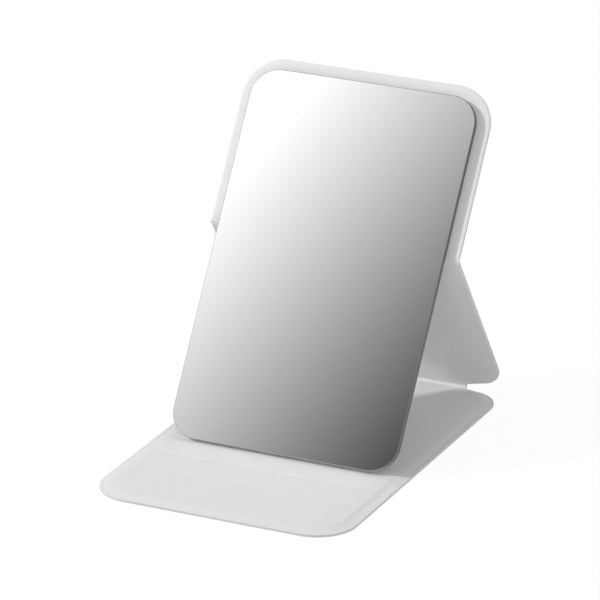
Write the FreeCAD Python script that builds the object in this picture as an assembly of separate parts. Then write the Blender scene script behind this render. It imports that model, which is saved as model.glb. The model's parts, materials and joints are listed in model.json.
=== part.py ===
import FreeCAD
import Part

import math
import os

# Folding stand mirror: a frameless glass plate on a folding sheet cover.
# The cover is one long strip of stiffened sheet with two folds. Its front cover lies on
# the table, the leg rises from the fold at its back edge, and the carrier above the
# middle fold holds the glass. The glass leans back and its lower edge stands on the
# front cover, in one of three pressed grooves that set the angle.
# Millimetres. X runs across the mirror, +Y to the back, +Z up. The origin lies on the
# table, in the middle of the front cover.

# Glass plate
MIRROR_WIDTH = 109.5
MIRROR_HEIGHT = 171.0
MIRROR_CORNER_RADIUS = 13.0
GLASS_THICKNESS = 2.3
SILVERING_THICKNESS = 0.1
BACKING_THICKNESS = 0.1
GLASS_ARRIS = 0.3

# Cover: an outer skin and an inner lining, with a stiff board between them in each panel
COVER_MARGIN = 5.75
SKIN_THICKNESS = 0.6
LINING_THICKNESS = 0.6
BOARD_THICKNESS = 1.0
LINING_SLOPE_RUN = 1.4
FRONT_COVER_LENGTH = 181.0

# Middle fold, between the leg and the carrier
FOLD_HEIGHT = 99.0
FOLD_TO_BOARD = 2.5
FOLD_CLEARANCE = 0.1

# Fold at the back edge, where the sheet turns round in a soft roll. The laps, in degrees,
# are how far the roll reaches past the front cover's underside and the leg's middle.
ROLL_TABLE_CLEARANCE = 0.2
ROLL_SEAT_CLEARANCE = 0.15
ROLL_SIDE_CLEARANCE = 0.3
ROLL_FRONT_COVER_LAP = 35.0
ROLL_LEG_LAP = 15.0

# Ears: the panels narrow to the neck at that fold. An ear is how far from the fold the
# slanting edge meets the panel's side.
FRONT_COVER_EAR = 7.0
FRONT_COVER_EAR_RADIUS = 15.0
LEG_EAR = 7.6
LEG_EAR_RADIUS = 13.0

# Grooves that hold the lower edge of the glass
FIRST_GROOVE_FROM_SPINE = 111.0
GROOVE_PITCH = 17.2
GROOVE_COUNT = 3
GROOVE_RADIUS = 2.2
GROOVE_DEPTH = 0.5
GROOVE_END_INSET = 3.0
GLASS_EDGE_CLEARANCE = 0.2

# Adhesive tape between the carrier and the back of the glass
TAPE_THICKNESS = 0.4
TAPE_STRIP_COUNT = 3
TAPE_STRIP_WIDTH = 14.0
TAPE_EDGE_INSET = 8.0

# Sizes that follow from the ones above
COVER_WIDTH = MIRROR_WIDTH + 2 * COVER_MARGIN
COVER_CORNER_RADIUS = MIRROR_CORNER_RADIUS + COVER_MARGIN
FLANGE_THICKNESS = SKIN_THICKNESS + LINING_THICKNESS
PANEL_THICKNESS = FLANGE_THICKNESS + BOARD_THICKNESS
CARRIER_LENGTH = MIRROR_HEIGHT - FOLD_HEIGHT + COVER_MARGIN
NECK_WIDTH = COVER_WIDTH - 2 * COVER_CORNER_RADIUS

# The stand is an isosceles triangle: the middle fold is as far from the roll's centre
# as from the lower back edge of the glass, and both of those are at one height. So the
# glass turns twice as fast as the leg, and its edge keeps the same height as it slides.
SPINE_HEIGHT = PANEL_THICKNESS + GLASS_EDGE_CLEARANCE
ROLL_RADIUS = SPINE_HEIGHT - ROLL_TABLE_CLEARANCE
NECK_START = ROLL_RADIUS - FLANGE_THICKNESS / 2
FOLD_BEHIND_GLASS = TAPE_THICKNESS + PANEL_THICKNESS
STAND_ARM = math.hypot(FOLD_HEIGHT, FOLD_BEHIND_GLASS)
LEG_REACH = math.sqrt(STAND_ARM**2 - (FLANGE_THICKNESS / 2) ** 2)
STAND_ANGLE = math.acos(FIRST_GROOVE_FROM_SPINE / 2 / STAND_ARM)
LEG_ANGLE = STAND_ANGLE - math.asin(FLANGE_THICKNESS / 2 / STAND_ARM)
TILT = math.pi / 2 - STAND_ANGLE - math.atan2(FOLD_BEHIND_GLASS, FOLD_HEIGHT)
ROLL_START = -90 - ROLL_FRONT_COVER_LAP
ROLL_END = 180 - math.degrees(LEG_ANGLE) + ROLL_LEG_LAP
SPINE_Y = FRONT_COVER_LENGTH / 2
FOLD_Y = SPINE_Y - FIRST_GROOVE_FROM_SPINE / 2
FOLD_Z = SPINE_HEIGHT + STAND_ARM * math.sin(STAND_ANGLE)

# Each panel is drawn flat: x across, y along it from its fold, and z up from its outer
# face to its inner face. These placements stand the panels up.
X_AXIS = FreeCAD.Vector(1, 0, 0)
FRONT_COVER_PLACE = FreeCAD.Placement(
    FreeCAD.Vector(0, SPINE_Y, 0), FreeCAD.Rotation(FreeCAD.Vector(0, 0, 1), 180)
)
LEG_PLACE = FreeCAD.Placement(
    FreeCAD.Vector(0, SPINE_Y, SPINE_HEIGHT)
    + FreeCAD.Vector(0, math.sin(LEG_ANGLE), math.cos(LEG_ANGLE)) * (FLANGE_THICKNESS / 2),
    FreeCAD.Rotation(X_AXIS, 180 - math.degrees(LEG_ANGLE)),
)
CARRIER_PLACE = FreeCAD.Placement(
    FreeCAD.Vector(0, FOLD_Y, FOLD_Z), FreeCAD.Rotation(X_AXIS, 90 - math.degrees(TILT))
)


def both_sides(right):
    """The corners of an outline from those on its right side, which run away from the fold."""
    return right + [(-x, y, radius) for x, y, radius in reversed(right)]


def necked_panel(ear, ear_radius, end, end_radius):
    """The corners of a panel that narrows to the neck at its start."""
    half = COVER_WIDTH / 2
    return both_sides([(NECK_WIDTH / 2, NECK_START, 0), (half, ear, ear_radius), (half, end, end_radius)])


def outline(corners, height, grow=0):
    """A closed wire round corners of x, y and radius, larger by grow on every side."""
    points = [FreeCAD.Vector(x, y, height) for x, y, radius in corners]
    stretches = []
    for index, (x, y, radius) in enumerate(corners):
        point = points[index]
        before = (points[index - 1] - point).normalize()
        after = (points[(index + 1) % len(points)] - point).normalize()
        half_angle = before.getAngle(after) / 2
        inward = (before + after).normalize()
        point = point - inward * (grow / math.sin(half_angle))
        if radius == 0:
            stretches.append([point])
            continue
        radius += grow
        reach = radius / math.tan(half_angle)
        top = inward * (radius / math.sin(half_angle) - radius)
        stretches.append([point + before * reach, point + top, point + after * reach])
    edges = []
    for index, stretch in enumerate(stretches):
        if len(stretch) == 3:
            edges.append(Part.Arc(*stretch).toShape())
        following = stretches[(index + 1) % len(stretches)]
        edges.append(Part.LineSegment(stretch[-1], following[0]).toShape())
    return Part.Wire(edges)


def plate(wire, thickness):
    """A flat plate of that outline."""
    return Part.Face(wire).extrude(FreeCAD.Vector(0, 0, thickness))


def rod(radius, length, y, z):
    """A cylinder along x, centred on x = 0."""
    return Part.makeCylinder(radius, length, FreeCAD.Vector(-length / 2, y, z), X_AXIS)


def block(half_width, start, end, low, high):
    """A box centred on x = 0, from start to end along y and from low to high."""
    corner = FreeCAD.Vector(-half_width, start, low)
    return Part.makeBox(2 * half_width, end - start, high - low, corner)


def cover_panel(cover, board):
    """Skin, board and lining of one panel, from the corners of the cover and of the board
    with its margin. The lining is formed over the board and meets the skin in a thin
    margin all round it."""
    board_top = SKIN_THICKNESS + BOARD_THICKNESS
    skin = plate(outline(cover, 0), SKIN_THICKNESS)
    board_plate = plate(outline(board, SKIN_THICKNESS, -COVER_MARGIN), BOARD_THICKNESS)
    margin = plate(outline(cover, SKIN_THICKNESS), LINING_THICKNESS)
    rise = Part.makeLoft(
        [
            outline(board, FLANGE_THICKNESS, LINING_SLOPE_RUN - COVER_MARGIN),
            outline(board, board_top + LINING_THICKNESS, -COVER_MARGIN),
        ],
        True,
        True,
    )
    return skin, board_plate, margin.fuse(rise).removeSplitter()


def spine_seat(axis_height):
    """What the roll needs taken out of a panel's edge, so that it can turn there."""
    length = NECK_WIDTH + 2 * ROLL_SIDE_CLEARANCE
    return rod(ROLL_RADIUS + ROLL_SEAT_CLEARANCE, length, 0, axis_height)


def front_cover():
    """The panel on the table, with the grooves pressed into its lining and board."""
    cover = necked_panel(
        FRONT_COVER_EAR, FRONT_COVER_EAR_RADIUS, FRONT_COVER_LENGTH, COVER_CORNER_RADIUS
    )
    skin, board_plate, lining = cover_panel(cover, cover)
    axis = PANEL_THICKNESS + GROOVE_RADIUS - GROOVE_DEPTH
    length = MIRROR_WIDTH - 2 * GROOVE_END_INSET
    for index in range(GROOVE_COUNT):
        place = FIRST_GROOVE_FROM_SPINE + index * GROOVE_PITCH
        lining = lining.cut(rod(GROOVE_RADIUS, length, place, axis))
        pressed = rod(GROOVE_RADIUS + LINING_THICKNESS, length + 2 * LINING_THICKNESS, place, axis)
        board_plate = board_plate.cut(pressed)
    lining = lining.cut(board_plate)
    seat = spine_seat(SPINE_HEIGHT)
    pieces = {
        "front_cover_skin": skin.cut(seat),
        "front_cover_board": board_plate,
        "front_cover_lining": lining.cut(seat),
    }
    return placed(pieces, FRONT_COVER_PLACE)


def leg():
    """The panel that rises from the back edge to the middle fold."""
    board_end = LEG_REACH - FOLD_TO_BOARD - LINING_SLOPE_RUN
    cover = necked_panel(LEG_EAR, LEG_EAR_RADIUS, LEG_REACH - FOLD_CLEARANCE, 0)
    board = necked_panel(LEG_EAR, LEG_EAR_RADIUS, board_end + COVER_MARGIN, 0)
    skin, board_plate, lining = cover_panel(cover, board)
    lining = lining.cut(board_plate)
    seat = spine_seat(FLANGE_THICKNESS / 2)
    pieces = {
        "leg_skin": skin.cut(seat),
        "leg_board": board_plate,
        "leg_lining": lining.cut(seat),
    }
    return placed(pieces, LEG_PLACE)


def carrier():
    """The panel above the middle fold, which holds the glass."""
    half = COVER_WIDTH / 2
    board_start = FOLD_TO_BOARD + LINING_SLOPE_RUN
    top = (half, CARRIER_LENGTH, COVER_CORNER_RADIUS)
    cover = both_sides([(half, FOLD_CLEARANCE, 0), top])
    board = both_sides([(half, board_start - COVER_MARGIN, 0), top])
    skin, board_plate, lining = cover_panel(cover, board)
    pieces = {
        "carrier_skin": skin,
        "carrier_board": board_plate,
        "carrier_lining": lining.cut(board_plate),
        "mounting_tape": mounting_tape(board_start, CARRIER_LENGTH - COVER_MARGIN),
    }
    return placed(pieces, CARRIER_PLACE)


def mounting_tape(start, end):
    """Strips of tape across the carrier, evenly spread over its board."""
    half_length = MIRROR_WIDTH / 2 - TAPE_EDGE_INSET
    first = start + TAPE_EDGE_INSET
    last = end - TAPE_EDGE_INSET - TAPE_STRIP_WIDTH
    strips = []
    for index in range(TAPE_STRIP_COUNT):
        place = first + (last - first) * index / (TAPE_STRIP_COUNT - 1)
        strips.append(
            block(half_length, place, place + TAPE_STRIP_WIDTH, PANEL_THICKNESS, FOLD_BEHIND_GLASS)
        )
    return Part.Compound(strips)


def mirror():
    """The glass plate with ground edges, its silvering and its backing film."""
    low = FOLD_BEHIND_GLASS
    half = MIRROR_WIDTH / 2
    top = MIRROR_HEIGHT - FOLD_HEIGHT
    corners = both_sides([(half, -FOLD_HEIGHT, MIRROR_CORNER_RADIUS), (half, top, MIRROR_CORNER_RADIUS)])
    pieces = {}
    layers = (
        ("mirror_backing", BACKING_THICKNESS),
        ("mirror_silvering", SILVERING_THICKNESS),
        ("mirror_glass", GLASS_THICKNESS),
    )
    for name, thickness in layers:
        pieces[name] = plate(outline(corners, low), thickness)
        low += thickness
    glass = pieces["mirror_glass"]
    front = [e for e in glass.Edges if min(v.Point.z for v in e.Vertexes) > low - GLASS_ARRIS]
    pieces["mirror_glass"] = glass.makeChamfer(GLASS_ARRIS, front)
    return placed(pieces, CARRIER_PLACE)


def spine():
    """The soft roll at the back edge: skin outside, lining inside."""
    centre = FreeCAD.Vector(0, SPINE_Y, SPINE_HEIGHT)
    turn = ROLL_END - ROLL_START

    def sleeve(inner, outer):
        """Part of a tube along x, from the front cover's end round the back to the leg's."""
        half = NECK_WIDTH / 2
        corners = [(-half, inner), (half, inner), (half, outer), (-half, outer), (-half, inner)]
        wire = Part.makePolygon([FreeCAD.Vector(x, y, 0) for x, y in corners])
        turned = Part.Face(wire).revolve(FreeCAD.Vector(0, 0, 0), X_AXIS, turn)
        turned.rotate(FreeCAD.Vector(0, 0, 0), X_AXIS, ROLL_START)
        turned.translate(centre)
        return turned

    middle = ROLL_RADIUS - SKIN_THICKNESS
    return {
        "spine_skin": sleeve(middle, ROLL_RADIUS),
        "spine_lining": sleeve(middle - LINING_THICKNESS, middle),
    }


def placed(pieces, placement):
    """The same pieces, stood up from the flat drawing."""
    return {name: shape.transformed(placement.toMatrix()) for name, shape in pieces.items()}


def main():
    os.makedirs("parts", exist_ok=True)
    pieces = {}
    for group in (front_cover(), spine(), leg(), carrier(), mirror()):
        pieces.update(group)
    for name, shape in pieces.items():
        shape.exportStep(os.path.join("parts", name + ".step"))
        print(f"{name}: {len(shape.Solids)} solids, {shape.Volume:.1f} mm3, valid {shape.isValid()}")
    print(f"tilt {math.degrees(TILT):.3f}, leg angle {math.degrees(LEG_ANGLE):.3f} degrees")
    print(f"spine axis y {SPINE_Y:.3f} z {SPINE_HEIGHT:.3f}, fold axis y {FOLD_Y:.3f} z {FOLD_Z:.3f}")


main()
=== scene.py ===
"""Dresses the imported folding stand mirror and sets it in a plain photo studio.

Lengths are in metres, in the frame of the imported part: X to the viewer's right, Y to the back, Z up.
A panel is modelled lying flat, outer face down and lining up, and is then turned into its place.
"""

import json
import math

import bmesh
import bpy
from bpy.props import FloatProperty, FloatVectorProperty, PointerProperty
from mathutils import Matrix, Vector


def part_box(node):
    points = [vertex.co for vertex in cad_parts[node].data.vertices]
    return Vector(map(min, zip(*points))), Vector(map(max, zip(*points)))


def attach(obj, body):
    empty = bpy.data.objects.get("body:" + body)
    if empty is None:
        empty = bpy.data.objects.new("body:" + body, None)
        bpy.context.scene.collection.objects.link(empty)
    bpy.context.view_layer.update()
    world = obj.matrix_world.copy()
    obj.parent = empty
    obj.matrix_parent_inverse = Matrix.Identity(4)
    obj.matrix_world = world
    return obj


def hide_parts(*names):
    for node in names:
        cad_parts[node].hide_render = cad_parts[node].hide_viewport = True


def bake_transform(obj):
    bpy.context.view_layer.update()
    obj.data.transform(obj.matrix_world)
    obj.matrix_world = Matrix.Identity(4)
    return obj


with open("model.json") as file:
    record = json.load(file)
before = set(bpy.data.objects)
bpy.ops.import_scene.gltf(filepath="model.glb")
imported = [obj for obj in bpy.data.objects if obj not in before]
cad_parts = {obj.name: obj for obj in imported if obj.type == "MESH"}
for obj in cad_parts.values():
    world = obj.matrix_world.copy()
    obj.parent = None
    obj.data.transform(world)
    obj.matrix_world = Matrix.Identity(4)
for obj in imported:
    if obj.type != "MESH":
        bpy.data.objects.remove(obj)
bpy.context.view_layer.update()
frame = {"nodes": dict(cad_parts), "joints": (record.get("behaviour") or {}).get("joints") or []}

bl_info = {
    "name": "Folding stand mirror",
    "version": (1, 0, 0),
    "blender": (4, 5, 0),
    "location": "View3D > Sidebar > Folding mirror",
    "description": "Builds a mirror plate on a folding white leatherette cover, with its studio",
    "category": "Object",
}

HINGES = {joint["name"]: Vector(joint["pos_m"]) for joint in frame["joints"]}
REAR_AXIS = HINGES["leg_fold"]
FOLD_AXIS = HINGES["mirror_fold"]
MM = 0.001
TOUCH = 0.01 * MM

# Panel sections: distance in from the outline and height, both in mm, from the rim to the middle.
# The front cover's lining slopes softly to its rim, and the other two have a nearly flat strip there.
# The outer sheets are flat, with a weld line pressed into them.
SOFT_SECTION = (
    (1.2, 1.20), (1.9, 1.29), (2.6, 1.44), (3.3, 1.62), (4.0, 1.78),
    (4.6, 1.87), (5.4, 1.96), (6.5, 2.05), (8.5, 2.14), (11.0, 2.20),
)
TIGHT_SECTION = (
    (0.25, 1.20), (0.32, 1.29), (0.45, 1.35), (0.8, 1.39), (1.4, 1.44),
    (2.4, 1.53), (3.6, 1.66), (5.0, 1.84), (7.0, 2.05), (10.0, 2.20),
)
SKIN_SECTION = ((3.2, 0.0), (3.6, 0.05), (4.0, 0.14), (4.4, 0.14), (4.8, 0.05), (5.2, 0.0))

# The welded step along the front cover's right edge: how far some of the soft section's rings drop, and
# the share of that between two places along Y, all in mm. Between two insets its rings also waver.
WELD_DROPS = ((1.9, 0.08), (2.6, 0.20), (3.3, 0.34), (4.0, 0.40), (4.6, 0.36), (5.4, 0.22), (6.5, 0.05))
WELD_STRETCHES = ((-80.0, -70.0, 0.5), (-70.0, -30.0, 1.0), (-30.0, -20.0, 0.5))
WELD_RING_REACH = 0.1 * MM
WAVER_FROM = 4.2 * MM
WAVER_TO = 5.6 * MM
WAVER_DEPTH = 0.40 * MM
WAVER_SIZE = 7.0 * MM

# Painted light from the white lining: the plate's ground edge is painted paler by this share up to the
# first height, and not from the second one on.
PAINTED_LINING_LIGHT_GAIN = 1.1
PAINTED_LINING_LIGHT_FULL = 4.0 * MM
PAINTED_LINING_LIGHT_TOP = 9.0 * MM

# The cuts that carry a groove: distance from its middle line in mm, and share of its depth.
# Each end of a groove rises over the run.
GROOVE_SECTION = ((0.0, 1.0), (0.7, 0.8), (1.4, 0.32), (2.2, 0.0))
GROOVE_COUNT = 3
GROOVE_END_RUN = 1.5 * MM

# The grid that is cut into the sheets, and the depth and size of the ripple that it carries.
GRID_STEP = 6.0 * MM
RIPPLE_DEPTH = 0.10 * MM
LINING_RIPPLE_SIZE = 16.0 * MM
SKIN_RIPPLE_SIZE = 18.0 * MM

# The steps of the bends, the heights between which the roll goes over from the base to the leg,
# and how near to its axis the folded outer sheet comes.
ROLL_STEPS = 18
FOLD_STEPS = 10
FOLD_CORE = 0.05 * MM

# Faces are told apart by their normals: how far these lie along an axis.
ALONG_AXIS = 0.99
NEAR_AXIS = 0.7
OFF_AXIS = 0.3
ACROSS_AXIS = 0.1
SHEET_SMOOTHING = math.radians(40.0)
PLATE_SMOOTHING = math.radians(20.0)
COVER_CORNER_STEPS = 20
PLATE_CORNER_STEPS = 28

# The grain of the leatherette: how wide its pebbles are.
OUTER_PEBBLE = 0.55 * MM
LINING_PEBBLE = 0.45 * MM

# The lamps: their directions from the point that they face, their widths and their distance.
LAMP_AIM = Vector((0.0, 0.0, 60.0 * MM))
LAMP_DISTANCE = 1.6
KEY_DIRECTION = (-1.32, -0.75, 1.0)
KEY_WIDTH = 0.06
SIDE_DIRECTION = (0.76, -0.64, 0.105)
SIDE_WIDTH = 0.50
LOW_FALLOFF = 4.0

# The floor lies just under the part. It shows white, with a share of the light that falls on it.
WHITE = (1.0, 1.0, 1.0, 1.0)
FLOOR_SIZE = 8.0
FLOOR_DROP = 0.05 * MM
FLOOR_TONE = (0.9, 0.9, 0.9, 1.0)
FLOOR_GLOW = 1.04
FLOOR_GLOW_SHARE = 0.90

# The card that the mirror shows: its tone on the screen in the middle, and how that changes along it.
CARD_DISTANCE = 0.6
CARD_TURN = math.radians(-9.6)
CARD_MIDDLE = 0.779
CARD_SLOPE = 4.08
CARD_CURVE = 4.0
CARD_DARKEST = 0.25
CARD_PALEST = 1.03
SCREEN_GAMMA = 2.2
SENSOR_WIDTH = 36.0


def length(name, description, default):
    """A length that the user can change, in metres."""
    kind = {"precision": 5, "subtype": "DISTANCE", "unit": "LENGTH"}
    return FloatProperty(name=name, description=description, default=default, **kind)


def turn(name, description, degrees):
    """An angle that the user can change, given in degrees."""
    kind = {"subtype": "ANGLE", "unit": "ROTATION"}
    return FloatProperty(name=name, description=description, default=math.radians(degrees), **kind)


def colour(name, description, default):
    """A colour that the user can change, in linear light."""
    kind = {"size": 4, "min": 0.0, "max": 1.0, "subtype": "COLOR"}
    return FloatVectorProperty(name=name, description=description, default=(*default, 1.0), **kind)


def power(name, description, watts):
    """A lamp's power that the user can change."""
    return FloatProperty(name=name, description=description, default=watts, unit="POWER")


def strength(name, description, default):
    """A strength of light that the user can change."""
    return FloatProperty(name=name, description=description, default=default)


class MirrorStandSizes(bpy.types.PropertyGroup):
    """Sizes of the cover and of the mirror plate."""

    cover_width: length("Cover width", "Width of all three panels of the cover", 0.121)
    cover_length: length("Front cover length", "Length of the panel on the table", 0.181)
    cover_corner: length("Cover corner radius", "Radius of the cover's rounded outer corners", 0.01875)
    base_ear: length("Base ear", "From the back edge to where the base has its full width", 0.0055)
    base_ear_corner: length("Base ear radius", "Radius of the front cover's back corners", 0.014)
    leg_ear: length("Leg ear", "From the rear fold to where the leg has its full width", 0.0076)
    leg_ear_corner: length("Leg ear radius", "Radius of the leg's lower corners", 0.013)
    carrier_length: length("Carrier length", "From the middle fold to the cover's top edge", 0.07775)
    sheet: length("Sheet thickness", "Thickness of the outer sheet and of the lining", 0.0006)
    rim: length("Rim rounding", "Rounding of the cover's cut edges", 0.0002)
    neck_width: length("Neck width", "Width of the soft roll that joins the base and the leg", 0.0835)
    neck_waist: length("Neck waist", "How far the roll's ends draw in between the panels", 0.0008)
    roll_start: length("Roll start", "How far before the back edge the roll starts to rise", 0.0021)
    roll_end: length("Roll end", "How far up the leg the roll ends", 0.0013)
    fold_gap: length("Fold gap", "How far before the middle fold each panel ends", 0.0001)
    first_groove: length("First groove", "From the back edge to the groove under the mirror", 0.111)
    groove_pitch: length("Groove pitch", "Distance between the grooves", 0.0172)
    groove_depth: length("Groove depth", "Depth of the pressed grooves", 0.00022)
    groove_length: length("Groove length", "Length of the pressed grooves", 0.1035)
    mirror_width: length("Mirror width", "Width of the mirror plate", 0.1095)
    mirror_corner: length("Mirror corner radius", "Radius of the plate's corners", 0.013)
    mirror_below: length("Mirror below fold", "How far the plate reaches below the middle fold", 0.099)
    mirror_above: length("Mirror above fold", "How far the plate reaches above the middle fold", 0.072)
    plate_back: length("Plate back", "Height of the silvering above the cover's outer face", 0.0027)
    plate_front: length("Plate front", "Height of its face above the cover's outer face", 0.0051)
    arris: length("Arris", "Width of the ground chamfer round the plate's face", 0.00025)
    mirror_tilt: turn("Mirror tilt", "How far the mirror leans back from upright", 32.580)


class MirrorStandColours(bpy.types.PropertyGroup):
    """Colours of the finishes."""

    leatherette: colour("Leatherette", "White imitation leather of the cover", (0.86, 0.86, 0.86))
    greyboard: colour("Board", "Stiffening board in the panels", (0.62, 0.60, 0.56))
    tape: colour("Tape", "Double-sided tape behind the mirror", (0.92, 0.91, 0.87))
    backing: colour("Backing", "Protective paint and film on the mirror's back", (0.42, 0.44, 0.46))
    silvering: colour("Silvering", "Reflecting layer", (0.95, 0.95, 0.95))
    ground_edge: colour("Ground edge", "Ground side of the glass plate", (0.165, 0.17, 0.17))
    arris: colour("Arris", "Ground chamfer of the glass plate", (0.19, 0.195, 0.195))
    cut_edge: colour("Cut edge", "Cut edge, where the core of the sheets shows", (0.72, 0.72, 0.72))


class MirrorStandStudio(bpy.types.PropertyGroup):
    """Camera and lights of the studio."""

    azimuth: turn("Camera azimuth", "Camera's angle to the right of the front", 25.349)
    elevation: turn("Camera elevation", "Camera's angle above the table", 21.174)
    distance: length("Camera distance", "From the camera to the point that it looks at", 2.117769)
    target: FloatVectorProperty(
        name="Camera target",
        description="Point that the camera looks at",
        default=(-0.000473, 0.0005, 0.068315),
        precision=5,
        subtype="XYZ",
        unit="LENGTH",
    )
    focal_length: FloatProperty(
        name="Focal length",
        description="Lens of the camera, in millimetres, on a 36 mm sensor",
        default=290.251,
        subtype="NONE",
        unit="CAMERA",
    )
    key_power: power("Key lamp", "Power of the lamp at the front left", 12.9)
    side_power: power("Side lamp", "Power of the low soft lamp at the front right", 3.4)
    fill_left: strength("Fill from the left", "Light of the surroundings on the left", 0.54)
    fill_right: strength("Fill from the right", "Light of the surroundings on the right", 0.54)
    fill_above: strength("Fill from above", "Light of the surroundings above", 0.37)
    fill_low: strength("Fill from low down", "Light of the surroundings near the horizon", 0.44)


class Signal:
    """A node's output. Arithmetic on it adds Math nodes."""

    def __init__(self, board, socket):
        self.board = board
        self.socket = socket

    def maths(self, operation, first, second):
        """The Math node of that operation on two values."""
        return self.board.add("ShaderNodeMath", {"operation": operation}, {0: first, 1: second})

    def __add__(self, other):
        return self.maths("ADD", self, other)

    def __radd__(self, other):
        return self.maths("ADD", other, self)

    def __sub__(self, other):
        return self.maths("SUBTRACT", self, other)

    def __rsub__(self, other):
        return self.maths("SUBTRACT", other, self)

    def __mul__(self, other):
        return self.maths("MULTIPLY", self, other)

    def __pow__(self, other):
        return self.maths("POWER", self, other)

    def limited(self, low, high):
        """The same signal, kept between low and high."""
        return self.maths("MINIMUM", self.maths("MAXIMUM", self, low), high)


class NodeBoard:
    """A node tree that nodes are added to."""

    def __init__(self, tree):
        self.tree = tree
        tree.nodes.clear()

    def add(self, kind, settings=None, sockets=None, output=0):
        """Adds a node, sets it up, fills its sockets and returns one of its outputs."""
        node = self.tree.nodes.new(kind)
        for name, value in (settings or {}).items():
            setattr(node, name, value)
        for key, value in (sockets or {}).items():
            if isinstance(value, Signal):
                self.tree.links.new(value.socket, node.inputs[key])
            else:
                node.inputs[key].default_value = value
        return Signal(self, node.outputs[output]) if node.outputs else node

    def noise(self, place, grain, detail=2.0, output=0):
        """Soft noise between 0 and 1, whose lumps are about grain metres across."""
        sockets = {"Vector": place, "Scale": 1.0 / grain, "Detail": detail}
        return self.add("ShaderNodeTexNoise", sockets=sockets, output=output)

    def mix(self, factor, first, second):
        """A colour between two colours."""
        sockets = {0: factor, 6: first, 7: second}
        return self.add("ShaderNodeMix", {"data_type": "RGBA"}, sockets, output=2)

    def stretched(self, place, stretch):
        """The place with each axis scaled, so that a pattern runs along one of them."""
        return self.add("ShaderNodeVectorMath", {"operation": "MULTIPLY"}, {0: place, 1: stretch})

    def part(self, vector, axis):
        """The part of a place or a direction along one axis."""
        return self.add("ShaderNodeSeparateXYZ", sockets={"Vector": vector}, output=axis)

    def bump(self, height, depth, share):
        """A normal from a height of 0 to 1 that stands for depth metres, of which a share shows."""
        sockets = {"Height": height, "Distance": depth, "Strength": share}
        return self.add("ShaderNodeBump", sockets=sockets)


def new_material(name):
    """A new material and its node board."""
    finish = bpy.data.materials.new(name)
    finish.use_nodes = True
    return finish, NodeBoard(finish.node_tree)


def new_finish(name):
    """A new material, its node board and the place on the piece."""
    finish, board = new_material(name)
    return finish, board, board.add("ShaderNodeTexCoord", output="Object")


def shade(board, sockets):
    """Ends a board in one surface shader with those sockets."""
    surface = board.add("ShaderNodeBsdfPrincipled", sockets=sockets)
    board.add("ShaderNodeOutputMaterial", sockets={"Surface": surface})


def darker(tone, share):
    """A colour with a share of its light taken away."""
    return (*(channel * (1.0 - share) for channel in tone[:3]), 1.0)


def paler(tone, share):
    """A colour with a share of its light added."""
    return darker(tone, -share)


def leatherette_finish(name, tone, pebble):
    """White imitation leather: pebbled grain with fine creases painted darker as painted shade, faint
    mottling and uneven sheen.
    """
    finish, board, place = new_finish(name)
    drift_size = pebble / 0.6
    fine_size = 0.16 * MM
    mottle_size = 22.0 * MM
    crease_slope = 3.2
    drift = board.noise(place, drift_size, detail=1.0, output="Color")
    shifted = board.add(
        "ShaderNodeVectorMath",
        {"operation": "MULTIPLY_ADD"},
        {0: drift, 1: (pebble, pebble, pebble), 2: place},
    )
    crease = board.add(
        "ShaderNodeTexVoronoi",
        {"feature": "DISTANCE_TO_EDGE"},
        {"Vector": shifted, "Scale": 1.0 / pebble},
    )
    dome = (crease * crease_slope).limited(0.0, 1.0)
    fine = board.noise(place, fine_size)
    mottle = board.noise(place, mottle_size, detail=3.0)
    height = dome * 0.8 + fine * 0.2
    # painted shade: the creases between the pebbles, the low parts of the bump, are painted darker
    crease_shaded_tone = board.mix((1.0 - dome) * 0.35, tuple(tone), darker(tone, 0.10))
    base = board.mix(mottle * 0.5, crease_shaded_tone, darker(tone, 0.035))
    shade(
        board,
        {
            "Base Color": base,
            "Roughness": 0.50 + mottle * 0.10 + (1.0 - dome) * 0.10,
            "Specular IOR Level": 0.35,
            "Normal": board.bump(height, depth=0.03 * MM, share=0.35),
        },
    )
    return finish


def board_finish(name, tone):
    """Grey board: pressed fibres and darker flecks."""
    finish, board, place = new_finish(name)
    fibres = board.noise(board.stretched(place, (1.0, 0.25, 1.0)), grain=0.5 * MM, detail=4.0)
    flecks = (board.noise(place, grain=1.2 * MM) - 0.62).limited(0.0, 0.2) * 3.0
    base = board.mix(fibres * 0.6 + flecks, tuple(tone), darker(tone, 0.30))
    normal = board.bump(fibres, depth=0.05 * MM, share=0.5)
    shade(board, {"Base Color": base, "Roughness": 0.90, "Normal": normal})
    return finish


def tape_finish(name, tone):
    """Double-sided tape: pale film with small air marks."""
    finish, board, place = new_finish(name)
    marks = board.noise(place, grain=1.5 * MM, detail=3.0)
    base = board.mix(marks * 0.6, tuple(tone), darker(tone, 0.12))
    normal = board.bump(marks, depth=0.03 * MM, share=0.3)
    shade(board, {"Base Color": base, "Roughness": 0.35 + marks * 0.2, "Normal": normal})
    return finish


def backing_finish(name, tone):
    """The mirror's back: grey protective paint under film, with a faint orange peel."""
    finish, board, place = new_finish(name)
    peel = board.noise(place, grain=0.9 * MM, detail=1.5)
    cloud = board.noise(place, grain=18.0 * MM, detail=3.0)
    base = board.mix(cloud * 0.5 + peel * 0.15, tuple(tone), darker(tone, 0.14))
    normal = board.bump(peel, depth=0.02 * MM, share=0.3)
    shade(board, {"Base Color": base, "Roughness": 0.36 + cloud * 0.14, "Normal": normal})
    return finish


def silvered_finish(name, tone):
    """Silvered glass: a clean mirror with a breath of unevenness in its polish."""
    finish, board, place = new_finish(name)
    wipe = board.noise(board.stretched(place, (1.0, 0.35, 0.35)), grain=30.0 * MM, detail=4.0)
    base = board.mix(wipe * 0.4, tuple(tone), darker(tone, 0.012))
    shade(board, {"Base Color": base, "Metallic": 1.0, "Roughness": 0.004 + wipe * 0.008})
    return finish


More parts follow.
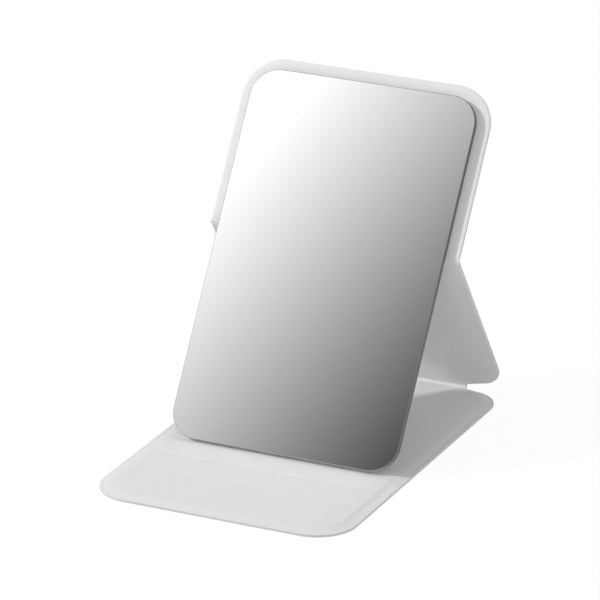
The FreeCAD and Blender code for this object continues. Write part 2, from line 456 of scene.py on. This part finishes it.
def ground_glass_finish(name, tone, gloss):
    """Ground glass: fine grinding marks along the plate, and painted light from the white lining that
    makes it paler low down.
    """
    finish, board, place = new_finish(name)
    marks = board.noise(board.stretched(place, (0.12, 1.0, 1.0)), grain=0.12 * MM, detail=3.0)
    cloud = board.noise(place, grain=4.0 * MM)
    ground = board.mix(marks * 0.5 + cloud * 0.3, tuple(tone), darker(tone, 0.35))
    # painted light: the ground edge is painted paler near its foot, as if lit by the white lining below
    below_top = PAINTED_LINING_LIGHT_TOP - board.part(place, "Z")
    painted_lining_light = below_top * (1.0 / (PAINTED_LINING_LIGHT_TOP - PAINTED_LINING_LIGHT_FULL))
    base = board.mix(painted_lining_light.limited(0.0, 1.0), ground, paler(tone, PAINTED_LINING_LIGHT_GAIN))
    shade(
        board,
        {
            "Base Color": base,
            "Roughness": 0.55 - gloss * 0.35 + marks * 0.15,
            "Specular IOR Level": 0.15 + gloss * 0.4,
            "Coat Weight": gloss * 0.8,
            "Coat Roughness": 0.12,
            "Normal": board.bump(marks, depth=0.01 * MM, share=0.25),
        },
    )
    return finish


def cut_edge_finish(name, tone):
    """A cut edge of two sheets: matte fibres in thin layers."""
    finish, board, place = new_finish(name)
    fibres = board.noise(place, grain=0.22 * MM, detail=3.0)
    smudge = board.noise(place, grain=6.0 * MM)
    base = board.mix(fibres * 0.5 + smudge * 0.3, tuple(tone), darker(tone, 0.30))
    normal = board.bump(fibres, depth=0.03 * MM, share=0.4)
    shade(board, {"Base Color": base, "Roughness": 0.72 + fibres * 0.2, "Normal": normal})
    return finish


def start_clean():
    """Leaves edit mode and deselects everything."""
    if bpy.context.mode != "OBJECT":
        bpy.ops.object.mode_set(mode="OBJECT")
    bpy.ops.object.select_all(action="DESELECT")


def pick(piece, kind, test):
    """In edit mode, selects the faces, edges or vertices of the piece that pass the test."""
    bpy.ops.mesh.select_mode(type={"faces": "FACE", "edges": "EDGE", "verts": "VERT"}[kind])
    bpy.ops.mesh.select_all(action="DESELECT")
    mesh = bmesh.from_edit_mesh(piece.data)
    found = [item for item in getattr(mesh, kind) if test(item)]
    if not found:
        raise RuntimeError(f"{piece.name} has no {kind} at the place that is to be shaped")
    for item in found:
        item.select_set(True)
    mesh.select_flush_mode()
    bmesh.update_edit_mesh(piece.data)


def middle(face):
    """The middle of a face's corners."""
    return sum((vert.co for vert in face.verts), Vector()) / len(face.verts)


def add_plate(name, width, low, high, level):
    """A flat plate in edit mode, from low to high along Y at that level, as a start."""
    start_clean()
    bpy.ops.mesh.primitive_plane_add(size=1.0, location=(0.0, (low + high) / 2.0, level))
    piece = bpy.context.object
    bpy.ops.transform.resize(value=(width, high - low, 1.0))
    piece.name = name
    piece.data.name = name
    bpy.ops.object.transform_apply(location=True, rotation=True, scale=True)
    bpy.ops.object.mode_set(mode="EDIT")
    return piece


def add_neck(piece, ear, neck, width):
    """Draws the plate's end at ear out to the neck, where it is as narrow as width."""

    def is_end(edge):
        return all(abs(vert.co.y - ear) < TOUCH for vert in edge.verts)

    pick(piece, "edges", is_end)
    full = max(vert.co.x for vert in bmesh.from_edit_mesh(piece.data).verts)
    pull((0.0, neck - ear, 0.0))
    bpy.ops.transform.resize(value=(width / 2.0 / full, 1.0, 1.0), center_override=(0.0, neck, 0.0))
    pick(piece, "edges", is_end)
    bpy.ops.mesh.dissolve_edges(use_verts=False)


def round_corners(piece, place, radius, steps):
    """Rounds the two outer corners of the plate at that place along Y."""
    full = max(vert.co.x for vert in bmesh.from_edit_mesh(piece.data).verts)
    pick(piece, "verts", lambda vert: abs(vert.co.y - place) < TOUCH and abs(vert.co.x) > full - TOUCH)
    corner = next(vert for vert in bmesh.from_edit_mesh(piece.data).verts if vert.select)
    angle = corner.link_loops[0].calc_angle()
    reach = radius / math.tan(angle / 2.0)
    bpy.ops.mesh.bevel(offset=reach, segments=steps, affect="VERTICES", offset_type="OFFSET")


def pull(way):
    """Extrudes what is selected by that way."""
    bpy.ops.mesh.extrude_region_move(TRANSFORM_OT_translate={"value": tuple(way)})


def thicken(height):
    """Pulls the flat plate in edit mode up, or down, into a solid."""
    bpy.ops.mesh.select_mode(type="FACE")
    bpy.ops.mesh.select_all(action="SELECT")
    pull((0.0, 0.0, height))
    bpy.ops.mesh.select_all(action="SELECT")
    bpy.ops.mesh.normals_make_consistent(inside=False)


def soften_rim(piece, level, rounding, segments=3, seams=()):
    """Rounds the edge round the piece at that level, but for the seams where the sheet runs on."""
    places = [place for place in seams if place is not None]

    def is_rim(edge):
        at_level = all(abs(vert.co.z - level) < TOUCH for vert in edge.verts)
        at_seam = any(all(abs(vert.co.y - place) < TOUCH for vert in edge.verts) for place in places)
        return at_level and not at_seam

    pick(piece, "edges", is_rim)
    bpy.ops.mesh.bevel(offset=rounding, segments=segments, affect="EDGES", clamp_overlap=True)


def press_section(piece, level, rim, section, facing):
    """Works the flat face at that level into rings that follow the section, up or into the sheet."""

    def is_flat_face(face):
        return face.normal.z * facing > ALONG_AXIS and abs(middle(face).z - level) < TOUCH

    pick(piece, "faces", is_flat_face)
    at = rim
    height = section[0][1] * MM
    for distance_mm, height_mm in section:
        bpy.ops.mesh.inset(
            thickness=distance_mm * MM - at, depth=height_mm * MM - height, use_even_offset=True
        )
        at = distance_mm * MM
        height = height_mm * MM


def cut_across(axis, places):
    """Cuts lines across the whole piece in edit mode, square to that axis."""
    for place in places:
        at = Vector()
        at[axis] = place
        square = Vector()
        square[axis] = 1.0
        bpy.ops.mesh.select_all(action="SELECT")
        bpy.ops.mesh.bisect(plane_co=at, plane_no=square)


def evenly(low, high, step):
    """Places between low and high, about a step apart, without the ends."""
    count = max(2, round((high - low) / step))
    return [low + (high - low) * index / count for index in range(1, count)]


def ripple(piece, depth, size, group=""):
    """Makes the sheet a little uneven, as soft goods are."""
    bpy.ops.object.mode_set(mode="OBJECT")
    pattern = bpy.data.textures.new(piece.name + "_ripple", type="CLOUDS")
    pattern.noise_scale = size
    pattern.cloud_type = "COLOR"
    bpy.ops.object.modifier_add(type="DISPLACE")
    wave = piece.modifiers[-1]
    wave.texture = pattern
    wave.texture_coords = "LOCAL"
    wave.direction = "RGB_TO_XYZ"
    wave.strength = depth
    wave.vertex_group = group
    bpy.ops.object.modifier_apply(modifier=wave.name)
    bpy.ops.object.mode_set(mode="EDIT")


def set_in_place(piece, origin, lean):
    """In object mode, turns the piece about X and moves it to its place."""
    piece.location = origin
    piece.rotation_euler = (lean, 0.0, 0.0)
    bpy.ops.object.transform_apply(location=True, rotation=True, scale=True)


def add_strip(name, width, low, high, origin, lean):
    """The first section of a bent sheet: a strip in its place in edit mode, all of it selected."""
    piece = add_plate(name, width, low, high, 0.0)
    cut_across(0, evenly(-width / 2.0, width / 2.0, GRID_STEP))
    bpy.ops.object.mode_set(mode="OBJECT")
    set_in_place(piece, origin, lean)
    bpy.ops.object.mode_set(mode="EDIT")
    bpy.ops.mesh.select_mode(type="FACE")
    bpy.ops.mesh.select_all(action="SELECT")
    return piece


def finish_piece(piece, finishes, origin=(0.0, 0.0, 0.0), lean=0.0, smoothing=SHEET_SMOOTHING):
    """Closes the mesh, turns it into its place, smooths it and gives it its finishes."""
    bpy.ops.mesh.select_all(action="SELECT")
    bpy.ops.mesh.remove_doubles(threshold=TOUCH)
    bpy.ops.mesh.normals_make_consistent(inside=False)
    start_clean()
    bpy.context.view_layer.objects.active = piece
    piece.select_set(True)
    set_in_place(piece, origin, lean)
    bpy.ops.object.shade_smooth_by_angle(angle=smoothing)
    for finish in finishes:
        piece.data.materials.append(finish)


class StandPlaces:
    """Places and angles of the stand at rest, worked out from the hinges and the sizes."""

    def __init__(self, sizes):
        self.base_half = sizes.cover_length / 2.0
        self.roll_start = self.base_half - sizes.roll_start
        reach = FOLD_AXIS - REAR_AXIS
        arm = math.hypot(reach.y, reach.z)
        self.leg_angle = math.atan2(reach.z, -reach.y) - math.asin(sizes.sheet / arm)
        self.leg_length = math.sqrt(arm**2 - sizes.sheet**2)
        self.leg_up = Vector((0.0, -math.cos(self.leg_angle), math.sin(self.leg_angle)))
        outward = Vector((0.0, math.sin(self.leg_angle), math.cos(self.leg_angle)))
        self.leg_origin = REAR_AXIS + outward * sizes.sheet
        self.leg_lean = math.pi - self.leg_angle
        self.carrier_lean = math.pi / 2.0 - sizes.mirror_tilt
        self.carrier_up = Vector((0.0, math.cos(self.carrier_lean), math.sin(self.carrier_lean)))


def finish_of(name):
    """The finish of that name, made on first use."""
    if name in bpy.data.materials:
        return bpy.data.materials[name]
    tones = bpy.context.scene.folding_mirror_colours
    makers = {
        "outer_leatherette_grain": lambda: leatherette_finish(name, tones.leatherette, OUTER_PEBBLE),
        "lining_leatherette_grain": lambda: leatherette_finish(name, tones.leatherette, LINING_PEBBLE),
        "cut_edge": lambda: cut_edge_finish(name, tones.cut_edge),
        "grey_board": lambda: board_finish(name, tones.greyboard),
        "pale_tape": lambda: tape_finish(name, tones.tape),
        "backing_paint": lambda: backing_finish(name, tones.backing),
        "silvered_glass": lambda: silvered_finish(name, tones.silvering),
        "ground_glass_side": lambda: ground_glass_finish(name, tones.ground_edge, gloss=0.0),
        "ground_glass_arris": lambda: ground_glass_finish(name, tones.arris, gloss=0.8),
    }
    return makers[name]()


class PanelOutline:
    """Where a panel starts and ends along Y, where it narrows to the neck, and its rounded corners."""

    def __init__(self, sizes, low, high, corners, neck=None, fold=None):
        self.low = low
        self.high = high
        self.corners = corners
        self.neck = neck
        self.fold = fold
        self.ends = (low, high) if neck is None else (min(low, neck), max(high, neck))
        self.width = sizes.cover_width
        self.neck_width = sizes.neck_width

    def add(self, name, level):
        """A flat plate of this outline, in edit mode."""
        piece = add_plate(name, self.width, self.low, self.high, level)
        if self.neck is not None:
            ear = self.high if self.neck > self.high else self.low
            add_neck(piece, ear, self.neck, self.neck_width)
        for place, radius in self.corners:
            round_corners(piece, place, radius, COVER_CORNER_STEPS)
        return piece


def outer_sheet(name, sizes, panel):
    """The outer sheet of a panel, lying flat with a pressed weld line round its outer face."""
    piece = panel.add(name, sizes.sheet)
    thicken(-sizes.sheet)
    soften_rim(piece, 0.0, sizes.rim, seams=(panel.fold, panel.neck))
    mark_cut_edge(piece, is_cut_side)
    inward = tuple((distance, -depth) for distance, depth in SKIN_SECTION)
    press_section(piece, 0.0, sizes.rim, inward, facing=-1.0)
    return piece


def inner_sheet(name, sizes, panel, section):
    """The lining of a panel, lying flat and drawn up over the panel's board."""
    top = 2.0 * sizes.sheet
    piece = panel.add(name, sizes.sheet)
    thicken(sizes.sheet)
    soften_rim(piece, top, sizes.rim, seams=(panel.fold, panel.neck))
    mark_cut_edge(piece, is_cut_side)
    press_section(piece, top, sizes.rim, section, facing=1.0)
    return piece


def is_cut_side(normal):
    """True on the upright sides of a sheet that lies flat."""
    return abs(normal.z) < OFF_AXIS


def is_cut_end(normal):
    """True on the left and right ends of a bent sheet."""
    return abs(normal.x) > NEAR_AXIS


def mark_cut_edge(piece, is_cut):
    """Gives the cut faces of a sheet the piece's second finish."""
    mesh = bmesh.from_edit_mesh(piece.data)
    mesh.normal_update()
    for face in mesh.faces:
        face.material_index = 1 if is_cut(face.normal) else 0
    bmesh.update_edit_mesh(piece.data)


def sheet_finishes(slot):
    """The finishes of a sheet: its grain and its cut edge."""
    return [finish_of(slot + "_grain"), finish_of("cut_edge")]


def add_grid(panel):
    """Cuts a grid into the panel's sheet in edit mode, so that it can be a little uneven."""
    cut_across(0, evenly(-panel.width / 2.0, panel.width / 2.0, GRID_STEP))
    cut_across(1, evenly(*panel.ends, GRID_STEP))


def raised_sheets(name, sizes, panel, origin, lean):
    """The outer sheet and the lining of a raised panel, a little uneven and in their place."""
    skin = outer_sheet(name + "_outer_sheet", sizes, panel)
    add_grid(panel)
    ripple(skin, RIPPLE_DEPTH, SKIN_RIPPLE_SIZE)
    finish_piece(skin, sheet_finishes("outer_leatherette"), origin, lean)
    lining = inner_sheet(name + "_lining_sheet", sizes, panel, TIGHT_SECTION)
    add_grid(panel)
    ripple(lining, RIPPLE_DEPTH, LINING_RIPPLE_SIZE)
    finish_piece(lining, sheet_finishes("lining_leatherette"), origin, lean)
    return skin, lining


class BuildStep:
    """A step that builds its pieces from the sizes and the places."""

    def execute(self, context):
        sizes = context.scene.folding_mirror_sizes
        self.build(sizes, StandPlaces(sizes))
        return {"FINISHED"}


class FOLDINGMIRROR_OT_front_cover(BuildStep, bpy.types.Operator):
    """Adds the panel on the table: outer sheet, and lining with the three angle grooves"""

    bl_idname = "folding_mirror.front_cover"
    bl_label = "Front cover"

    def build(self, sizes, places):
        half = places.base_half
        back = half - sizes.base_ear
        corners = ((-half, sizes.cover_corner), (back, sizes.base_ear_corner))
        panel = PanelOutline(sizes, -half, back, corners, neck=places.roll_start)

        skin = outer_sheet("front_cover_outer_sheet", sizes, panel)
        finish_piece(skin, sheet_finishes("outer_leatherette"))
        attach(skin, "front_cover")
        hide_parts("front_cover_skin")

        lining = inner_sheet("front_cover_lining_sheet", sizes, panel, SOFT_SECTION)
        add_grid(panel)
        self.press_grooves(lining, sizes, half)
        self.press_weld(lining, sizes, half)
        ripple(lining, RIPPLE_DEPTH, LINING_RIPPLE_SIZE)
        finish_piece(lining, sheet_finishes("lining_leatherette"))
        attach(lining, "front_cover")
        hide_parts("front_cover_lining")

    def press_weld(self, lining, sizes, half):
        """Presses the wavering welded step along the front right edge."""
        side = sizes.cover_width / 2.0
        corner = sizes.cover_corner

        def inset(vert):
            across = side - vert.co.x
            along = vert.co.y + half
            if across < corner and along < corner:
                return corner - math.hypot(corner - across, corner - along)
            return across

        def is_face(vert):
            return vert.co.x > side - corner and vert.co.z > 2.0 * sizes.sheet + TOUCH

        for low, high, share in WELD_STRETCHES:
            for ring, drop in WELD_DROPS:
                pick(
                    lining,
                    "verts",
                    lambda vert: is_face(vert)
                    and low * MM <= vert.co.y < high * MM
                    and abs(inset(vert) - ring * MM) < WELD_RING_REACH,
                )
                bpy.ops.transform.translate(value=(0.0, 0.0, -drop * share * MM))
        first = WELD_STRETCHES[0][0] * MM
        last = WELD_STRETCHES[-1][1] * MM
        pick(
            lining,
            "verts",
            lambda vert: is_face(vert)
            and first < vert.co.y < last
            and WAVER_FROM < inset(vert) < WAVER_TO,
        )
        bpy.ops.object.vertex_group_assign_new()
        ripple(lining, WAVER_DEPTH, WAVER_SIZE, group=lining.vertex_groups[-1].name)
        lining.vertex_groups.clear()

    def press_grooves(self, lining, sizes, half):
        """Presses the grooves that hold the mirror's lower edge."""
        reach = sizes.groove_length / 2.0
        full = reach - GROOVE_END_RUN
        cut_across(0, (-reach, -full, full, reach))
        first = half - sizes.first_groove
        lines = [first - index * sizes.groove_pitch for index in range(GROOVE_COUNT)]
        cuts = [
            (sorted({line - offset_mm * MM, line + offset_mm * MM}), share)
            for line in lines
            for offset_mm, share in GROOVE_SECTION
        ]
        for rows, _ in cuts:
            cut_across(1, rows)
        for rows, share in cuts:
            if share == 0.0:
                continue
            pick(
                lining,
                "verts",
                lambda vert: any(abs(vert.co.y - row) < TOUCH for row in rows)
                and abs(vert.co.x) < full + GROOVE_END_RUN / 2.0
                and vert.co.z > 2.0 * sizes.sheet,
            )
            bpy.ops.transform.translate(value=(0.0, 0.0, -sizes.groove_depth * share))


class FOLDINGMIRROR_OT_leg(BuildStep, bpy.types.Operator):
    """Adds the lower back panel: outer sheet and lining"""

    bl_idname = "folding_mirror.leg"
    bl_label = "Leg"

    def build(self, sizes, places):
        top = places.leg_length - sizes.fold_gap
        corners = ((sizes.leg_ear, sizes.leg_ear_corner),)
        panel = PanelOutline(sizes, sizes.leg_ear, top, corners, neck=sizes.roll_end, fold=top)

        skin, lining = raised_sheets("leg", sizes, panel, places.leg_origin, places.leg_lean)
        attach(skin, "leg")
        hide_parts("leg_skin")
        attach(lining, "leg")
        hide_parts("leg_lining")


class FOLDINGMIRROR_OT_carrier(BuildStep, bpy.types.Operator):
    """Adds the panel that carries the mirror plate: outer sheet and lining"""

    bl_idname = "folding_mirror.carrier"
    bl_label = "Carrier"

    def build(self, sizes, places):
        low = sizes.fold_gap
        high = sizes.carrier_length
        panel = PanelOutline(sizes, low, high, ((high, sizes.cover_corner),), fold=low)

        skin, lining = raised_sheets("carrier", sizes, panel, FOLD_AXIS, places.carrier_lean)
        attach(skin, "mirror")
        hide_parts("carrier_skin")
        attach(lining, "mirror")
        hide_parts("carrier_lining")


class FOLDINGMIRROR_OT_rear_roll(BuildStep, bpy.types.Operator):
    """Adds the soft roll that joins the front cover and the leg"""

    bl_idname = "folding_mirror.rear_roll"
    bl_label = "Rear roll"

    def build(self, sizes, places):
        bend = places.leg_lean
        start = places.roll_start
        meeting = places.leg_origin.y + places.leg_origin.z / math.tan(places.leg_angle)
        tangent = meeting - start
        centre = Vector((0.0, start, tangent / math.tan(bend / 2.0)))
        straight = sizes.roll_end - (tangent - places.leg_origin.z / math.sin(places.leg_angle))
        layers = (
            ("rear_roll_outer_sheet", 0.0, "spine_skin", "outer_leatherette"),
            ("rear_roll_lining_sheet", sizes.sheet, "spine_lining", "lining_leatherette"),
        )
        for name, low, node, slot in layers:
            high = low + sizes.sheet
            piece = add_strip(name, sizes.neck_width, low, high, (0.0, start, 0.0), math.pi / 2.0)
            bpy.ops.mesh.spin(steps=ROLL_STEPS, angle=bend, center=centre, axis=(-1.0, 0.0, 0.0))
            pull(places.leg_up * straight)
            mark_cut_edge(piece, is_cut_end)
            self.draw_in_waist(piece, sizes, centre, bend)
            finish_piece(piece, sheet_finishes(slot))
            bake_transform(piece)
            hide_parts(node)

    def draw_in_waist(self, piece, sizes, centre, bend):
        """Narrows the roll between the corners of the two panels, so that each notch ends round."""
        for step in range(1, ROLL_STEPS):
            angle = bend * step / ROLL_STEPS
            spoke = Vector((0.0, math.sin(angle), -math.cos(angle)))
            across = Vector((0.0, math.cos(angle), math.sin(angle)))
            pick(
                piece,
                "verts",
                lambda vert: abs((vert.co - centre).dot(across)) < TOUCH
                and (vert.co - centre).dot(spoke) > 0.0,
            )
            drawn = sizes.neck_waist * math.sqrt(math.sin(math.pi * step / ROLL_STEPS))
            narrower = 1.0 - drawn / (sizes.neck_width / 2.0)
            bpy.ops.transform.resize(value=(narrower, 1.0, 1.0), center_override=(0.0, 0.0, 0.0))


class FOLDINGMIRROR_OT_middle_fold(BuildStep, bpy.types.Operator):
    """Adds the folded sheet between the leg and the carrier"""

    bl_idname = "folding_mirror.middle_fold"
    bl_label = "Middle fold"

    def build(self, sizes, places):
        bend = places.leg_lean - places.carrier_lean
        lean = places.leg_lean + math.pi / 2.0
        first = FOLD_AXIS - places.leg_up * sizes.fold_gap
        layers = (
            ("middle_fold_outer_sheet", FOLD_CORE, sizes.sheet, "outer_leatherette"),
            ("middle_fold_lining_sheet", sizes.sheet, 2.0 * sizes.sheet, "lining_leatherette"),
        )
        for name, low, high, slot in layers:
            piece = add_strip(name, sizes.cover_width, low, high, first, lean)
            pull(places.leg_up * sizes.fold_gap)
            bpy.ops.mesh.spin(steps=FOLD_STEPS, angle=bend, center=FOLD_AXIS, axis=(1.0, 0.0, 0.0))
            pull(places.carrier_up * sizes.fold_gap)
            mark_cut_edge(piece, is_cut_end)
            finish_piece(piece, sheet_finishes(slot))
            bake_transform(piece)


class FOLDINGMIRROR_OT_mirror_plate(BuildStep, bpy.types.Operator):
    """Adds the silvered glass plate with its ground edges"""

    bl_idname = "folding_mirror.mirror_plate"
    bl_label = "Mirror plate"

    def build(self, sizes, places):
        low = -sizes.mirror_below
        high = sizes.mirror_above
        plate = add_plate("mirror_plate", sizes.mirror_width, low, high, sizes.plate_back)
        for place in (low, high):
            round_corners(plate, place, sizes.mirror_corner, PLATE_CORNER_STEPS)
        thicken(sizes.plate_front - sizes.plate_back)
        soften_rim(plate, sizes.plate_front, sizes.arris, segments=2)
        soften_rim(plate, sizes.plate_back, sizes.arris / 2.0, segments=1)
        self.assign_finishes(plate)
        names = ("silvered_glass", "ground_glass_side", "ground_glass_arris")
        finishes = [finish_of(name) for name in names]
        finish_piece(plate, finishes, FOLD_AXIS, places.carrier_lean, PLATE_SMOOTHING)
        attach(plate, "mirror")
        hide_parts("mirror_glass", "mirror_silvering")

    def assign_finishes(self, plate):
        """Face and back are silvered, the side and the chamfers are ground."""
        mesh = bmesh.from_edit_mesh(plate.data)
        mesh.normal_update()
        for face in mesh.faces:
            slope = abs(face.normal.z)
            face.material_index = 0 if slope > ALONG_AXIS else 1 if slope < ACROSS_AXIS else 2
        bmesh.update_edit_mesh(plate.data)


class FOLDINGMIRROR_OT_inner_finishes(bpy.types.Operator):
    """Gives the boards, the tape and the mirror's back their finishes"""

    bl_idname = "folding_mirror.inner_finishes"
    bl_label = "Boards, tape and backing"

    def execute(self, context):
        finishes = {
            "front_cover_board": "grey_board",
            "leg_board": "grey_board",
            "carrier_board": "grey_board",
            "mounting_tape": "pale_tape",
            "mirror_backing": "backing_paint",
        }
        for node, name in finishes.items():
            for slot in frame["nodes"][node].material_slots:
                slot.material = finish_of(name)
        return {"FINISHED"}


class FOLDINGMIRROR_OT_stage(bpy.types.Operator):
    """Adds the floor, the surroundings, the lamps, the card that the mirror shows and the camera"""

    bl_idname = "folding_mirror.stage"
    bl_label = "Stage"

    def execute(self, context):
        studio = context.scene.folding_mirror_studio
        context.scene.view_settings.view_transform = "Standard"
        self.add_floor()
        self.set_surroundings(context, studio)
        self.add_lamp("key_lamp", KEY_DIRECTION, KEY_WIDTH, studio.key_power)
        self.add_lamp("side_lamp", SIDE_DIRECTION, SIDE_WIDTH, studio.side_power)
        self.add_camera(context, studio)
        self.add_card(context)
        return {"FINISHED"}

    def seen(self, board):
        """1 on rays from the camera, also by way of a mirror or glass."""
        path = board.tree.nodes.new("ShaderNodeLightPath")
        camera, glossy, through = (
            Signal(board, path.outputs[name])
            for name in ("Is Camera Ray", "Is Glossy Ray", "Is Transmission Ray")
        )
        return (camera + glossy + through).limited(0.0, 1.0)

    def add_floor(self):
        """A white floor that keeps a light shadow of the object."""
        start_clean()
        bpy.ops.mesh.primitive_plane_add(size=FLOOR_SIZE, location=(0.0, 0.0, -FLOOR_DROP))
        floor = bpy.context.object
        floor.name = "floor"
        paint, board = new_material("white_floor")
        lit = board.add("ShaderNodeBsdfDiffuse", sockets={"Color": FLOOR_TONE})
        white = board.add("ShaderNodeEmission", sockets={"Color": WHITE, "Strength": FLOOR_GLOW})
        share = self.seen(board) * FLOOR_GLOW_SHARE
        both = board.add("ShaderNodeMixShader", sockets={0: share, 1: lit, 2: white})
        board.add("ShaderNodeOutputMaterial", sockets={"Surface": both})
        floor.data.materials.append(paint)

    def set_surroundings(self, context, studio):
        """White all round: as a backdrop at full white, as light from the sides, above and low down."""
        world = bpy.data.worlds.new("white_surroundings")
        world.use_nodes = True
        board = NodeBoard(world.node_tree)
        seen = self.seen(board)
        way = board.add("ShaderNodeTexCoord", output="Generated")
        rightward = board.part(way, "X")
        upward = board.part(way, "Z")
        from_right = rightward.limited(0.0, 1.0) * studio.fill_right
        from_left = (0.0 - rightward).limited(0.0, 1.0) * studio.fill_left
        from_above = upward.limited(0.0, 1.0) * studio.fill_above
        from_low = (1.0 - upward).limited(0.0, 1.0) ** LOW_FALLOFF * studio.fill_low
        glow = seen + (1.0 - seen) * (from_right + from_left + from_above + from_low)
        light = board.add("ShaderNodeBackground", sockets={"Color": WHITE, "Strength": glow})
        board.add("ShaderNodeOutputWorld", sockets={"Surface": light})
        context.scene.world = world

    def add_lamp(self, name, direction, width, watts):
        """A square lamp in that direction from the object, facing it."""
        outward = Vector(direction).normalized()
        start_clean()
        bpy.ops.object.light_add(type="AREA", location=LAMP_AIM + outward * LAMP_DISTANCE)
        lamp = bpy.context.object
        lamp.name = name
        lamp.data.name = name
        lamp.data.size = width
        lamp.data.energy = watts
        lamp.rotation_euler = outward.to_track_quat("Z", "Y").to_euler()

    def add_camera(self, context, studio):
        """The camera at the photo's viewing angle."""
        outward = Vector(
            (
                math.sin(studio.azimuth) * math.cos(studio.elevation),
                -math.cos(studio.azimuth) * math.cos(studio.elevation),
                math.sin(studio.elevation),
            )
        )
        start_clean()
        bpy.ops.object.camera_add(location=Vector(studio.target) + outward * studio.distance)
        camera = context.object
        camera.name = "camera"
        camera.rotation_euler = outward.to_track_quat("Z", "Y").to_euler()
        camera.data.sensor_width = SENSOR_WIDTH
        camera.data.lens = studio.focal_length
        context.scene.camera = camera

    def add_card(self, context):
        """A card that shades from white to grey, up where the mirror looks, seen only in the mirror."""
        tilt = context.scene.folding_mirror_sizes.mirror_tilt
        face = Vector((0.0, -math.cos(tilt), math.sin(tilt)))
        low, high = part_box("mirror_glass")
        centre = (low + high) / 2.0
        sight = (centre - context.scene.camera.location).normalized()
        outward = sight.reflect(face)
        start_clean()
        bpy.ops.mesh.primitive_plane_add(size=1.0, location=centre + outward * CARD_DISTANCE)
        card = bpy.context.object
        card.name = "shaded_card"
        card.rotation_euler = (-outward).to_track_quat("Z", "Y").to_euler()
        paint, board, place = new_finish("card_shading")
        sockets = {"Vector": place, "Rotation": (0.0, 0.0, CARD_TURN)}
        along = board.part(board.add("ShaderNodeMapping", sockets=sockets), "X")
        tone = CARD_MIDDLE + along * (CARD_SLOPE - along * CARD_CURVE)
        shown = tone.limited(CARD_DARKEST, CARD_PALEST)
        glow = board.add("ShaderNodeEmission", sockets={"Strength": shown**SCREEN_GAMMA})
        board.add("ShaderNodeOutputMaterial", sockets={"Surface": glow})
        card.data.materials.append(paint)
        for way in ("visible_camera", "visible_diffuse", "visible_shadow", "visible_volume_scatter"):
            setattr(card, way, False)


class FOLDINGMIRROR_PT_pieces(bpy.types.Panel):
    """Lists the steps that build the folding mirror"""

    bl_idname = "FOLDINGMIRROR_PT_pieces"
    bl_label = "Folding mirror"
    bl_space_type = "VIEW_3D"
    bl_region_type = "UI"
    bl_category = "Folding mirror"

    def draw(self, context):
        for operator in OPERATORS:
            self.layout.operator(operator.bl_idname)
        for group in SETTINGS:
            settings = getattr(context.scene, group)
            box = self.layout.box()
            for name in settings.__annotations__:
                box.prop(settings, name)


OPERATORS = (
    FOLDINGMIRROR_OT_front_cover,
    FOLDINGMIRROR_OT_leg,
    FOLDINGMIRROR_OT_carrier,
    FOLDINGMIRROR_OT_rear_roll,
    FOLDINGMIRROR_OT_middle_fold,
    FOLDINGMIRROR_OT_mirror_plate,
    FOLDINGMIRROR_OT_inner_finishes,
    FOLDINGMIRROR_OT_stage,
)
SETTINGS = {
    "folding_mirror_sizes": MirrorStandSizes,
    "folding_mirror_colours": MirrorStandColours,
    "folding_mirror_studio": MirrorStandStudio,
}
CLASSES = (*SETTINGS.values(), *OPERATORS, FOLDINGMIRROR_PT_pieces)


def register():
    """Registers the classes and the settings on the scene."""
    for entry in CLASSES:
        bpy.utils.register_class(entry)
    for name, group in SETTINGS.items():
        setattr(bpy.types.Scene, name, PointerProperty(type=group))


def unregister():
    """Takes the settings and the classes away again."""
    for name in SETTINGS:
        delattr(bpy.types.Scene, name)
    for entry in reversed(CLASSES):
        bpy.utils.unregister_class(entry)


def main():
    """Builds every piece and the stage."""
    register()
    bpy.ops.folding_mirror.front_cover()
    bpy.ops.folding_mirror.leg()
    bpy.ops.folding_mirror.carrier()
    bpy.ops.folding_mirror.rear_roll()
    bpy.ops.folding_mirror.middle_fold()
    bpy.ops.folding_mirror.mirror_plate()
    bpy.ops.folding_mirror.inner_finishes()
    bpy.ops.folding_mirror.stage()


if __name__ == "__main__":
    main()
